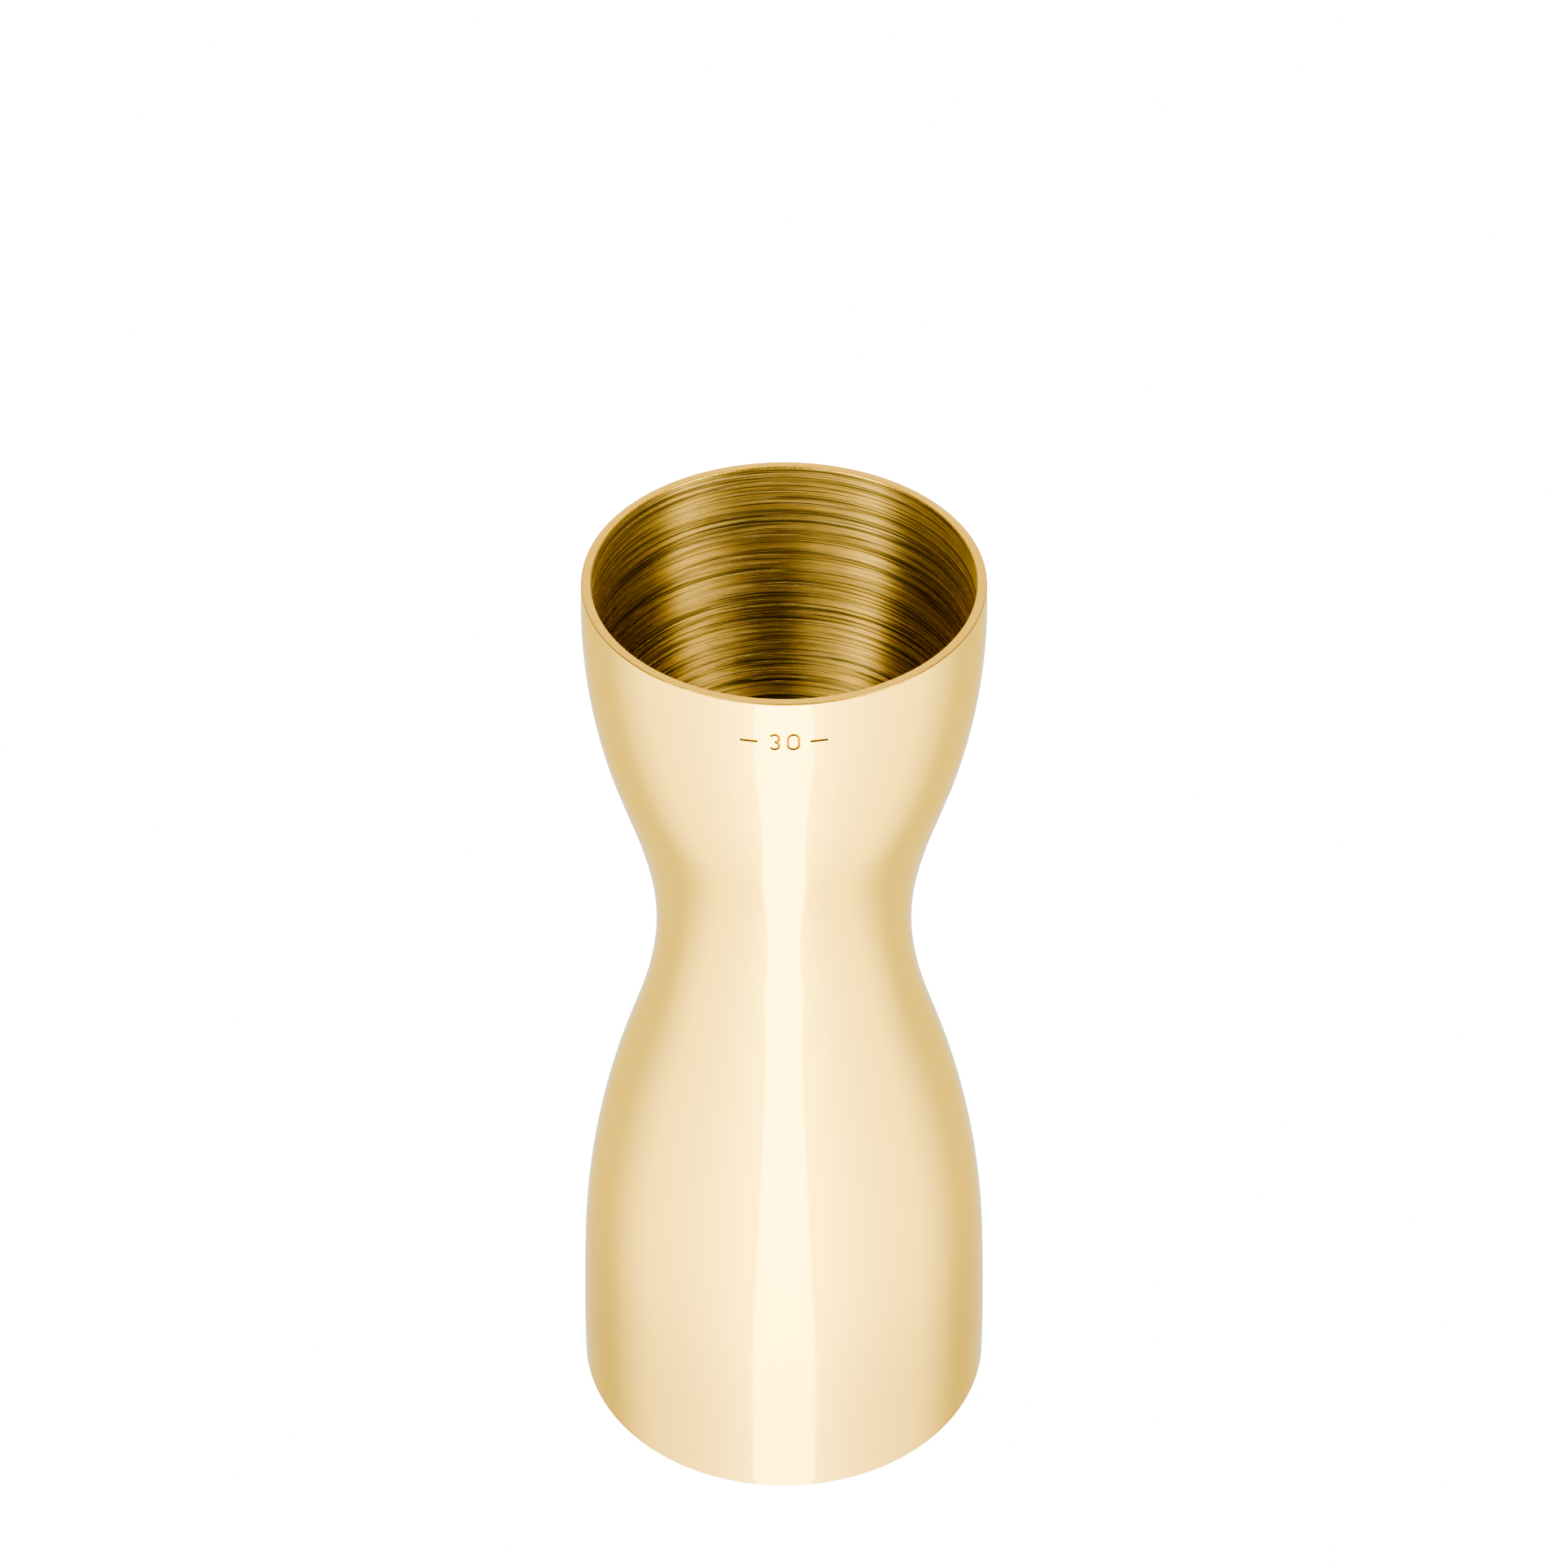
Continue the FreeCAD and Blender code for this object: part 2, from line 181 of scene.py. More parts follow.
# %% Centre of the upper bell's arc
UPPER_OUT = Vector((math.cos(UPPER_LEAN), -math.sin(UPPER_LEAN)))
UPPER_RUN = Vector((math.sin(UPPER_LEAN), math.cos(UPPER_LEAN)))
UPPER_EDGE = Vector((UPPER_SHOULDER, UPPER_WELD_EDGE))
reach = Vector((RIM_RADIUS, HEIGHT)) - UPPER_EDGE + BELL_CURVE * UPPER_OUT
along = reach.dot(UPPER_RUN)
flank_length = along - math.sqrt(along ** 2 - reach.length_squared + BELL_CURVE ** 2)
BELL_CENTRE = UPPER_EDGE + flank_length * UPPER_RUN - BELL_CURVE * UPPER_OUT
print(f"upper flank {flank_length / MM:.2f} mm long, bell arc centre, mm:",
      [round(value / MM, 2) for value in BELL_CENTRE])


def on_arc(centre, curve, height):
    """The radius of an arc about a centre, at a height."""
    return centre.x + math.sqrt(curve ** 2 - (height - centre.y) ** 2)


# %% [markdown]
# ## The dressed waist
#
# Once the two cups and the collar are welded, a belt dresses them together until a finger can't
# find the joints. So one smooth profile runs from flank to flank: a cubic that is upright at the
# waist and has a flank's own lean where it joins it. The CAD model has arcs that meet at a small
# angle at the welds. A mirror finish would show that angle as a line.

# %% The dressed profile
WAIST_HEIGHT = (UPPER_FACE + LOWER_FACE) / 2
DRESSED_FLANK = 4.0 * MM


def waist_profile(height):
    """The radius of the waist at a height, from one cup's flank to the other's."""
    edge, lean = (LOWER_EDGE, LOWER_LEAN) if height < WAIST_HEIGHT else (UPPER_EDGE, UPPER_LEAN)
    span = abs(edge.y - WAIST_HEIGHT) + DRESSED_FLANK
    part = abs(height - WAIST_HEIGHT) / span
    rise = edge.x + math.tan(lean) * DRESSED_FLANK - WAIST_RADIUS
    slope = math.tan(lean) * span
    return WAIST_RADIUS + (3 * rise - slope) * part ** 2 + (slope - 2 * rise) * part ** 3


print("radii at the seams, mm:", [
    round(waist_profile(level) / MM, 2)
    for level in (LOWER_EDGE.y, LOWER_FACE, UPPER_FACE, UPPER_EDGE.y)])

# %% [markdown]
# ## The lower cup
#
# The section starts on the axis, under the floor, goes out to the bevel that was ground for the
# weld, down the outside, round the rim that the jigger stands on, and back up the inside. The
# inner corner at the floor is a 3 mm round, so a spirit measure rinses clean.

# %% Draw and turn the lower cup
def draw_lower_cup(section):
    base_joint = BASE_CENTRE + BASE_CURVE * BELLY_OUT
    flank_joint = BELLY_CENTRE + BELLY_CURVE * LOWER_OUT
    section.line(WELD_ROOT, LOWER_FACE)
    section.line(waist_profile(LOWER_EDGE.y), LOWER_EDGE.y)
    section.follow(waist_profile, LOWER_EDGE.y - DRESSED_FLANK, steps=20)
    section.line(*flank_joint, steps=4)
    section.arc(BELLY_CENTRE, *base_joint, steps=44)
    low = FOOT + RIM_ROUND
    section.arc(BASE_CENTRE, on_arc(BASE_CENTRE, BASE_CURVE, low), low, steps=30)
    section.arc((BASE_RADIUS - RIM_ROUND, low), BASE_RADIUS - RIM_ROUND, FOOT, steps=6)
    inner = BASE_RADIUS - WALL
    section.line(inner + RIM_ROUND, FOOT, steps=3)
    section.arc((inner + RIM_ROUND, low), inner, low, steps=6)
    section.arc(BASE_CENTRE, *(base_joint - WALL * BELLY_OUT), steps=30)
    section.arc(BELLY_CENTRE, *(flank_joint - WALL * LOWER_OUT), steps=44)
    floor = LOWER_FACE - WALL
    height = floor - FLOOR_FILLET
    depth = LOWER_OUT.dot(LOWER_EDGE) - WALL - FLOOR_FILLET
    corner = Vector(((depth - LOWER_OUT.y * height) / LOWER_OUT.x, height))
    section.line(*(corner + FLOOR_FILLET * LOWER_OUT), steps=6)
    section.arc(corner, corner.x, floor, steps=14)
    section.line(0.0, floor, steps=12)


lower_section = Section(0.0, LOWER_FACE)
draw_lower_cup(lower_section)
lower_cup = lower_section.turn("lower_cup_drawn")
print("lower cup faces:", len(lower_cup.data.polygons))

# %% [markdown]
# ## The upper cup
#
# The small bell stands the other way up. Its arc turns just past the vertical, so the rim is a
# hair narrower than the widest ring below it, as on a cup that was rolled in at the lip.

# %% Draw and turn the upper cup
def draw_upper_cup(section):
    joint = BELL_CENTRE + BELL_CURVE * UPPER_OUT
    section.line(WELD_ROOT, UPPER_FACE)
    section.line(waist_profile(UPPER_EDGE.y), UPPER_EDGE.y)
    section.follow(waist_profile, UPPER_EDGE.y + DRESSED_FLANK, steps=20)
    section.line(*joint, steps=4)
    top = HEIGHT - LIP_ROUND
    outer = on_arc(BELL_CENTRE, BELL_CURVE, top)
    section.arc(BELL_CENTRE, outer, top, steps=48)
    section.arc((outer - LIP_ROUND, top), outer - LIP_ROUND, HEIGHT, steps=8)
    edge = HEIGHT - RIM_ROUND
    inner = on_arc(BELL_CENTRE, BELL_CURVE - WALL, edge)
    section.line(inner + RIM_ROUND, HEIGHT, steps=3)
    section.arc((inner + RIM_ROUND, edge), inner, edge, steps=6)
    section.arc(BELL_CENTRE, *(joint - WALL * UPPER_OUT), steps=48)
    floor = UPPER_FACE + WALL
    height = floor + FLOOR_FILLET
    depth = UPPER_OUT.dot(UPPER_EDGE) - WALL - FLOOR_FILLET
    corner = Vector(((depth - UPPER_OUT.y * height) / UPPER_OUT.x, height))
    section.line(*(corner + FLOOR_FILLET * UPPER_OUT), steps=6)
    section.arc(corner, corner.x, floor, steps=14)
    section.line(0.0, floor, steps=12)


upper_section = Section(0.0, UPPER_FACE)
draw_upper_cup(upper_section)
upper_cup = upper_section.turn("upper_cup_drawn")
print("upper cup faces:", len(upper_cup.data.polygons))

# %% [markdown]
# ## The collar and its welds
#
# The collar is a turned ring with a hollow waist outside and a straight bore. Its section is a
# closed loop, so the chain comes back to where it began. Each weld fills the V between the bevel
# of a cup and the end of the collar, and both follow the dressed profile outside.

# %% Draw and turn the collar
collar_section = Section(waist_profile(LOWER_FACE), LOWER_FACE)
collar_section.follow(waist_profile, UPPER_FACE, steps=64)
collar_section.line(COLLAR_BORE + BORE_CHAMFER, UPPER_FACE)
collar_section.line(COLLAR_BORE, UPPER_FACE - BORE_CHAMFER)
collar_section.line(COLLAR_BORE, LOWER_FACE + BORE_CHAMFER, steps=4)
collar_section.line(COLLAR_BORE + BORE_CHAMFER, LOWER_FACE)
collar_section.line(waist_profile(LOWER_FACE), LOWER_FACE)
waist_collar = collar_section.turn("waist_collar_turned")
print("collar faces:", len(waist_collar.data.polygons))


# %% Draw and turn the two welds
def weld_ring(name, face, edge):
    """A ring from the collar's edge to a cup's shoulder."""
    section = Section(waist_profile(face), face)
    section.follow(waist_profile, edge.y, steps=16)
    section.line(WELD_ROOT, face)
    section.line(waist_profile(face), face)
    return section.turn(name)


lower_weld = weld_ring("lower_weld_dressed", LOWER_FACE, LOWER_EDGE)
upper_weld = weld_ring("upper_weld_dressed", UPPER_FACE, UPPER_EDGE)
print("weld faces:", len(lower_weld.data.polygons), "and", len(upper_weld.data.polygons))

# %% [markdown]
# ## The capacity mark
#
# A small number between two dashes is cut into the front of the upper cup, 0.12 mm deep. An
# engraver drives a fine flat cutter along each stroke. The cutter here is the outline of a square
# that is spun round the curves and pushed along the straights. The strokes are drawn flat, then
# wrapped round the bell so that the depth is even, and taken away from the cup with a Boolean.

# %% The cutter and its two moves
MARK_HEIGHT = 100.6 * MM
MARK_DEPTH = 0.12 * MM
CLEARANCE = 0.4 * MM
DIGIT_HEIGHT, DIGIT_WIDTH, DIGIT_PITCH = 2.0 * MM, 1.3 * MM, 1.8 * MM
DASH_LENGTH, DASH_PLACE = 1.7 * MM, 3.35 * MM
STROKE = 0.26 * MM
print(f"a cutter {STROKE / MM} mm wide cuts {MARK_DEPTH / MM} mm deep")


def set_cutter(bm, x, z, turn):
    """A square outline across a stroke, from the floor of the cut to clear of the surface."""
    corners = bmesh.ops.create_grid(bm, x_segments=1, y_segments=1, size=0.5)["verts"]
    face = corners[0].link_faces[0]
    outline = list(face.edges)
    bmesh.ops.delete(bm, geom=[face], context="FACES_ONLY")
    place = (Matrix.Translation((x, (CLEARANCE - MARK_DEPTH) / 2, z))
             @ Matrix.Rotation(turn, 4, "Y")
             @ Matrix.Diagonal((STROKE, MARK_DEPTH + CLEARANCE, 1.0, 1.0)))
    bmesh.ops.transform(bm, matrix=place, verts=corners)
    return outline


def corners_of(outline):
    return list({corner for edge in outline for corner in edge.verts})


def bow(bm, outline, x, z, angle, steps):
    """Takes the cutter round a centre, clockwise as it is seen from the front."""
    cut = bmesh.ops.spin(
        bm, geom=outline + corners_of(outline), cent=(x, 0, z), axis=(0, 1, 0),
        angle=math.radians(angle), steps=steps)
    return [item for item in cut["geom_last"] if isinstance(item, bmesh.types.BMEdge)]


def push(bm, outline, offset, steps):
    """Pushes the cutter straight on, in steps short enough to wrap round the bell."""
    for _ in range(steps):
        cut = bmesh.ops.extrude_edge_only(bm, edges=outline)["geom"]
        corners = [item for item in cut if isinstance(item, bmesh.types.BMVert)]
        outline = [item for item in cut if isinstance(item, bmesh.types.BMEdge)
                   and all(corner in corners for corner in item.verts)]
        bmesh.ops.translate(bm, vec=Vector(offset) / steps, verts=corners)
    return outline


# %% Cut the strokes flat, then wrap them round the bell
def cut_dash(bm, side):
    start = set_cutter(bm, side * DASH_PLACE - DASH_LENGTH / 2, MARK_HEIGHT, math.pi / 2)
    push(bm, start, (DASH_LENGTH, 0, 0), 8)


def cut_three(bm, side):
    """One of the two open rounds of the three. They share the stroke in the middle."""
    bend = (DIGIT_HEIGHT - STROKE) / 4
    x, z = -DIGIT_PITCH / 2, MARK_HEIGHT + side * bend
    outline = set_cutter(bm, x - bend, z, 0.0)
    lead_in = math.radians(30 if side > 0 else 90)
    bmesh.ops.rotate(bm, cent=(x, 0, z), matrix=Matrix.Rotation(lead_in, 3, "Y"),
                     verts=corners_of(outline))
    bow(bm, outline, x, z, 240, 24)


def cut_nought(bm):
    bend, straight = (DIGIT_WIDTH - STROKE) / 2, DIGIT_HEIGHT - DIGIT_WIDTH
    x, top, bottom = DIGIT_PITCH / 2, MARK_HEIGHT + straight / 2, MARK_HEIGHT - straight / 2
    outline = set_cutter(bm, x - bend, top, 0.0)
    outline = bow(bm, outline, x, top, 180, 18)
    outline = push(bm, outline, (0, 0, -straight), 1)
    outline = bow(bm, outline, x, bottom, 180, 18)
    push(bm, outline, (0, 0, straight), 1)


def wrap_round_bell(bm):
    """Turns flat strokes into strokes on the bell: x runs round it and y becomes the radius."""
    for corner in bm.verts:
        bell = on_arc(BELL_CENTRE, BELL_CURVE, corner.co.z)
        turn, radius = corner.co.x / bell, bell + corner.co.y
        corner.co = (radius * math.sin(turn), -radius * math.cos(turn), corner.co.z)
    bm.normal_update()


# %% Take the strokes away from the cup
def engrave(cup, name, draw):
    """Cuts a set of strokes that do not overlap each other out of the cup."""
    strokes = bmesh.new()
    draw(strokes)
    bmesh.ops.remove_doubles(strokes, verts=strokes.verts[:], dist=TOUCHING)
    open_ends = [edge for edge in strokes.edges if edge.is_boundary]
    bmesh.ops.holes_fill(strokes, edges=open_ends, sides=4)
    wrap_round_bell(strokes)
    bmesh.ops.recalc_face_normals(strokes, faces=strokes.faces[:])
    mesh = bpy.data.meshes.new(name)
    strokes.to_mesh(mesh)
    strokes.free()
    tool = bpy.data.objects.new(name, mesh)
    bpy.context.scene.collection.objects.link(tool)
    cutting = cup.modifiers.new(name, "BOOLEAN")
    cutting.operation, cutting.solver, cutting.object = "DIFFERENCE", "EXACT", tool
    graph = bpy.context.evaluated_depsgraph_get()
    cup.data = bpy.data.meshes.new_from_object(cup.evaluated_get(graph))
    cup.modifiers.clear()
    bpy.data.objects.remove(tool)


def cut_most(bm):
    """The dashes, the nought and the upper round of the three, which keep clear of each other."""
    cut_dash(bm, -1)
    cut_three(bm, 1)
    cut_nought(bm)
    cut_dash(bm, 1)


def cut_rest(bm):
    """The lower round of the three, which overlaps the upper one."""
    cut_three(bm, -1)


def smooth_and_measure(piece):
    """Shades a piece smooth, and prints its volume and whether its mesh is closed."""
    bm = bmesh.new()
    bm.from_mesh(piece.data)
    shade_smooth(bm)
    bm.to_mesh(piece.data)
    loose = sum(not edge.is_manifold for edge in bm.edges)
    print(f"{piece.name}: {bm.calc_volume() / MM ** 3:.1f} cubic mm, {loose} loose edges")
    bm.free()


smooth_and_measure(upper_cup)
engrave(upper_cup, "mark_strokes", cut_most)
engrave(upper_cup, "mark_last_stroke", cut_rest)
smooth_and_measure(upper_cup)

# %% [markdown]
# ## Camera
#
# The camera looks down at 39 degrees through a portrait lens, from about half a metre away. From
# nearer, the foot would look smaller than the rim.

# %% Camera
CAMERA_TILT, CAMERA_PLACE, LENS = 39.18, (0.0, -0.3691, 0.3802), 108.9
camera_data = bpy.data.cameras.new("camera")
camera_data.lens = LENS
camera_data.sensor_width = 36.0
camera_data.clip_start = 0.01
camera = bpy.data.objects.new("camera", camera_data)
camera.location = CAMERA_PLACE
camera.rotation_euler = (math.radians(90 - CAMERA_TILT), 0.0, 0.0)
bpy.context.scene.collection.objects.link(camera)
bpy.context.scene.camera = camera
print(f"camera {camera.location.length / MM:.0f} mm from the foot")


# %% [markdown]
# ## Two helpers for shaders
#
# Colours are picked as hex codes, as from a chart, and turned to the linear values that light is
# added up in. A shader is a tree of small nodes, so one helper adds any node, sets it and wires it.

# %% Colour and node helpers
def linear(hex_code):
    """The linear colour of an sRGB hex code."""
    parts = [int(hex_code[index:index + 2], 16) / 255 for index in (0, 2, 4)]
    return [part / 12.92 if part <= 0.04045 else ((part + 0.055) / 1.055) ** 2.4
            for part in parts] + [1.0]


def node(tree, kind, settings=None, **links):
    """Adds a node. Settings are its properties. A link is a value, a socket, or a node whose first
    output is meant. _0 and _1 name an input by its place: the two numbers of a Mix node are at _2
    and _3, and its two colours at _6 and _7, with the mixed colour at outputs[2]."""
    made = tree.nodes.new(kind)
    for name, value in (settings or {}).items():
        setattr(made, name, value)
    for name, value in links.items():
        place = name[1:]
        socket = made.inputs[int(place) if place.isdigit() else name.replace("_", " ")]
        if isinstance(value, bpy.types.Node):
            value = value.outputs[0]
        if isinstance(value, bpy.types.NodeSocket):
            tree.links.new(value, socket)
        else:
            socket.default_value = value
    return made


ADD, MULTIPLY = {"operation": "ADD"}, {"operation": "MULTIPLY"}
SMOOTH = {"interpolation_type": "SMOOTHSTEP"}
COLOURS = {"data_type": "RGBA"}
print("a mid gold in linear light:", [round(part, 3) for part in linear("FDD670")])

# %% [markdown]
# ## The table
#
# A sheet of matt opal acrylic, lit from below, as for catalogue work. It is a plain white to the
# eye. The metal doesn't reflect it, because the room below is drawn to be reflected in its place.

# %% Lit table
TABLE_HALF_WIDTH = 3.0
TABLE_GLOW = 4.2
table_bm = bmesh.new()
bmesh.ops.create_grid(table_bm, x_segments=1, y_segments=1, size=TABLE_HALF_WIDTH)
floor_mesh = bpy.data.meshes.new("floor")
table_bm.to_mesh(floor_mesh)
table_bm.free()
floor = bpy.data.objects.new("floor", floor_mesh)
bpy.context.scene.collection.objects.link(floor)
floor.visible_glossy = False
table = bpy.data.materials.new("lit_opal_table")
table.use_nodes = True
table_inputs = table.node_tree.nodes["Principled BSDF"].inputs
table_inputs["Base Color"].default_value = linear("F4F4F4")
table_inputs["Roughness"].default_value = 0.95
table_inputs["Specular IOR Level"].default_value = 0.0
table_inputs["Emission Color"].default_value = linear("FFFFFF")
table_inputs["Emission Strength"].default_value = TABLE_GLOW
floor.data.materials.append(table)
print(f"table {2 * TABLE_HALF_WIDTH:.0f} m across")

# %% [markdown]
# ## Soft boxes
#
# Three tall, narrow boxes stand in front, high up. They are there for the insides of the cups:
# each draws one upright band on the brushed wall. Azimuth 0 is the camera's side and 90 the right.

# %% Soft boxes
BOX_DISTANCE, BOX_LENGTH = 1.1, 0.8


def soft_box(name, azimuth, elevation, width, power):
    """An area light that faces the jigger's middle."""
    light = bpy.data.lights.new(name, "AREA")
    light.shape = "RECTANGLE"
    light.size, light.size_y, light.energy = width, BOX_LENGTH, power
    lamp = bpy.data.objects.new(name, light)
    turn, tilt = math.radians(azimuth), math.radians(elevation)
    away = Vector((math.sin(turn) * math.cos(tilt), -math.cos(turn) * math.cos(tilt),
                   math.sin(tilt)))
    lamp.location = Vector((0.0, 0.0, HEIGHT / 2)) + BOX_DISTANCE * away
    lamp.rotation_euler = away.to_track_quat("Z", "Y").to_euler()
    bpy.context.scene.collection.objects.link(lamp)
    print(f"{name}: {power} W at azimuth {azimuth}")


soft_box("soft_box_left", -58, 52, 0.15, 6.5)
soft_box("soft_box_right", 66, 52, 0.13, 6.0)
soft_box("soft_box_front", -24, 50, 0.07, 1.4)

# %% [markdown]
# ## The room
#
# Polished metal shows the room more than itself. A room could be built from cards and cloths; here
# it is drawn straight on to the sky, by direction, so nothing has to be kept out of the picture.
# The low walls are pale in front, with a bright strip straight ahead, and fall off to the sides
# and back, so the outline darkens. The ceiling is dark, so that the insides stay deep.

# %% Directions in the room
STRIP_GLOW, FRONT_GLOW, FRONT_GAIN, BACK_GLOW = 5.2, 2.05, 1.3, 1.0
PANEL_GLOW, LOW_CEILING, HIGH_CEILING, BACKDROP = 1.3, 0.26, 0.04, 4.6

world = bpy.data.worlds.new("studio")
bpy.context.scene.world = world
world.use_nodes = True
room = world.node_tree
room.nodes.clear()
direction = node(room, "ShaderNodeTexCoord").outputs["Generated"]
right, back, up = node(room, "ShaderNodeSeparateXYZ", Vector=direction).outputs
beside = node(room, "ShaderNodeMath", {"operation": "ABSOLUTE"}, _0=right)
ahead = node(room, "ShaderNodeMath", MULTIPLY, _0=back, _1=-1.0)
turned = node(room, "ShaderNodeMath", {"operation": "ARCTAN2"}, _0=beside, _1=ahead)
print("the room is mirrored left and right, and turned is 0 in front and pi behind")

# %% Low walls, which the outside of the jigger reflects
strip_width = node(
    room, "ShaderNodeMapRange", SMOOTH, Value=up, From_Min=-0.95, From_Max=-0.62, To_Min=0.135,
    To_Max=0.235)
off_strip = node(room, "ShaderNodeMath", {"operation": "DIVIDE"}, _0=beside, _1=strip_width)
strip = node(
    room, "ShaderNodeMapRange", SMOOTH, Value=off_strip, From_Min=0.88, From_Max=1.06, To_Min=1.0,
    To_Max=0.0)
fading = node(
    room, "ShaderNodeMapRange", Value=turned, From_Min=math.radians(20),
    From_Max=math.radians(110), To_Min=1.0, To_Max=0.0)
falling = node(room, "ShaderNodeMath", {"operation": "POWER"}, _0=fading, _1=3.0)
pale_front = node(
    room, "ShaderNodeMath", {"operation": "MULTIPLY_ADD"}, _0=falling, _1=FRONT_GAIN,
    _2=FRONT_GLOW)
front = node(room, "ShaderNodeMix", _0=strip, _2=pale_front, _3=STRIP_GLOW)
behind = node(
    room, "ShaderNodeMapRange", SMOOTH, Value=turned, From_Min=math.radians(72),
    From_Max=math.radians(122), To_Min=0.0, To_Max=1.0)
low_room = node(room, "ShaderNodeMix", _0=behind, _2=front, _3=BACK_GLOW)
print(f"low walls from {FRONT_GLOW + FRONT_GAIN:.2f} in front to {BACK_GLOW} behind")

# %% Dark ceiling with a soft panel behind, which the rim reflects
panel_sides = node(
    room, "ShaderNodeMapRange", SMOOTH, Value=turned, From_Min=math.radians(138),
    From_Max=math.radians(168), To_Min=0.0, To_Max=1.0)
panel_top = node(
    room, "ShaderNodeMapRange", SMOOTH, Value=up, From_Min=0.86, From_Max=0.74, To_Min=0.0,
    To_Max=1.0)
panel = node(room, "ShaderNodeMath", MULTIPLY, _0=panel_sides, _1=panel_top)
ceiling = node(
    room, "ShaderNodeMapRange", SMOOTH, Value=up, From_Min=0.40, From_Max=0.75,
    To_Min=LOW_CEILING, To_Max=HIGH_CEILING)
high_room = node(room, "ShaderNodeMix", _0=panel, _2=ceiling, _3=PANEL_GLOW)
rising = node(
    room, "ShaderNodeMapRange", SMOOTH, Value=up, From_Min=0.0, From_Max=0.48, To_Min=0.0,
    To_Max=1.0)
brightness = node(room, "ShaderNodeMix", _0=rising, _2=low_room, _3=high_room)
print(f"ceiling from {LOW_CEILING} down to {HIGH_CEILING} overhead")

# %% What the jigger reflects, and the plain backdrop that is seen past it
glow = node(room, "ShaderNodeBackground", Color=linear("FFFFFF"), Strength=brightness)
seen = node(room, "ShaderNodeBackground", Color=linear("FFFFFF"), Strength=BACKDROP)
which = node(
    room, "ShaderNodeMixShader", _0=node(room, "ShaderNodeLightPath").outputs["Is Camera Ray"],
    _1=glow, _2=seen)
node(room, "ShaderNodeOutputWorld", Surface=which)
view = bpy.context.scene.view_settings
view.view_transform = "AgX"
view.look = "AgX - High Contrast"
print("room nodes:", len(room.nodes))


# %% [markdown]
# ## Finishes
#
# There is one metal, a thin pale gold plate over stainless steel, and four ways that its surface
# was made. A wheel that works on a turning cup leaves its lines round the cup, so the noise behind
# them is drawn out round the axis: it reads which way a point faces from the axis, and its height.

# %% Marks of the polishing and brushing wheels
def wheel_lines(tree, around, per_mm, detail, seed):
    """Noise drawn out round the Z axis. It has around streaks to a radian and per_mm streaks to a
    millimetre of height, and the seed picks another part of the noise."""
    place = node(tree, "ShaderNodeTexCoord").outputs["Object"]
    flat = node(tree, "ShaderNodeVectorMath", MULTIPLY, _0=place, _1=(1, 1, 0))
    heading = node(tree, "ShaderNodeVectorMath", {"operation": "NORMALIZE"}, _0=flat)
    height = node(
        tree, "ShaderNodeVectorMath", MULTIPLY, _0=place, _1=(0, 0, per_mm / MM / around))
    ring = node(tree, "ShaderNodeVectorMath", ADD, _0=heading, _1=height)
    moved = node(tree, "ShaderNodeVectorMath", ADD, _0=ring, _1=(seed, seed * 1.7, 0))
    return node(
        tree, "ShaderNodeTexNoise", Vector=moved, Scale=around, Detail=detail, Roughness=0.6)


def new_finish(name):
    """A material with one Principled shader, set as a metal."""
    material = bpy.data.materials.new(name)
    material.use_nodes = True
    shader = material.node_tree.nodes["Principled BSDF"]
    shader.inputs["Metallic"].default_value = 1.0
    print("finish:", name)
    return material, material.node_tree, shader


# %% [markdown]
# ### Polished gold plate
#
# The outside was taken to a mirror on soft wheels before it was plated. Thin gold plate over
# bright steel is a pale, even gold that varies by a shade over a centimetre or so. Its colour is
# also a little darker towards the foot. The wheels leave hairlines round the cup. Real ones are a
# few hundredths of a millimetre apart; these are drawn about 0.17 mm apart, so that they show, as
# faint changes in how sharp a reflection is. The Specular Tint keeps what is reflected at a
# glancing angle gold.

# %% Polished gold plate
polished, tree, shader = new_finish("polished_gold_plate")
place = node(tree, "ShaderNodeTexCoord").outputs["Object"]
patches = node(tree, "ShaderNodeTexNoise", Vector=place, Scale=1 / (14 * MM), Detail=2.0)
patchy_plate = node(
    tree, "ShaderNodeMix", COLOURS, _0=patches, _6=linear("FDD670"), _7=linear("FBD36B"))
height = node(tree, "ShaderNodeSeparateXYZ", Vector=place).outputs["Z"]
# the colour is mixed to a darker gold towards the foot: fully below 6 mm, not at all above 34 mm
darker_to_foot = node(
    tree, "ShaderNodeMapRange", SMOOTH, Value=height, From_Min=6 * MM, From_Max=34 * MM,
    To_Min=1.0, To_Max=0.0)
plate = node(
    tree, "ShaderNodeMix", COLOURS, _0=darker_to_foot, _6=patchy_plate.outputs[2], _7=linear("E6C066"))
tree.links.new(plate.outputs[2], shader.inputs["Base Color"])
hairlines = wheel_lines(tree, around=3.0, per_mm=6.0, detail=3.0, seed=0.0)
haze = node(
    tree, "ShaderNodeMapRange", SMOOTH, Value=hairlines, From_Min=0.3, From_Max=0.7,
    To_Min=0.055, To_Max=0.10)
tree.links.new(haze.outputs[0], shader.inputs["Roughness"])
polish = node(tree, "ShaderNodeBump", Height=hairlines, Strength=0.25, Distance=0.0004 * MM)
tree.links.new(polish.outputs[0], shader.inputs["Normal"])
shader.inputs["Specular Tint"].default_value = linear("FFF2C0")

# %% [markdown]
# ### Satin rim
#
# The rims were faced flat and rubbed down with fine grit, so they are a soft even gold that shows
# no picture of the room. Real grit leaves marks about 0.04 mm across; they are drawn 0.12 mm
# across, about the finest that shows.

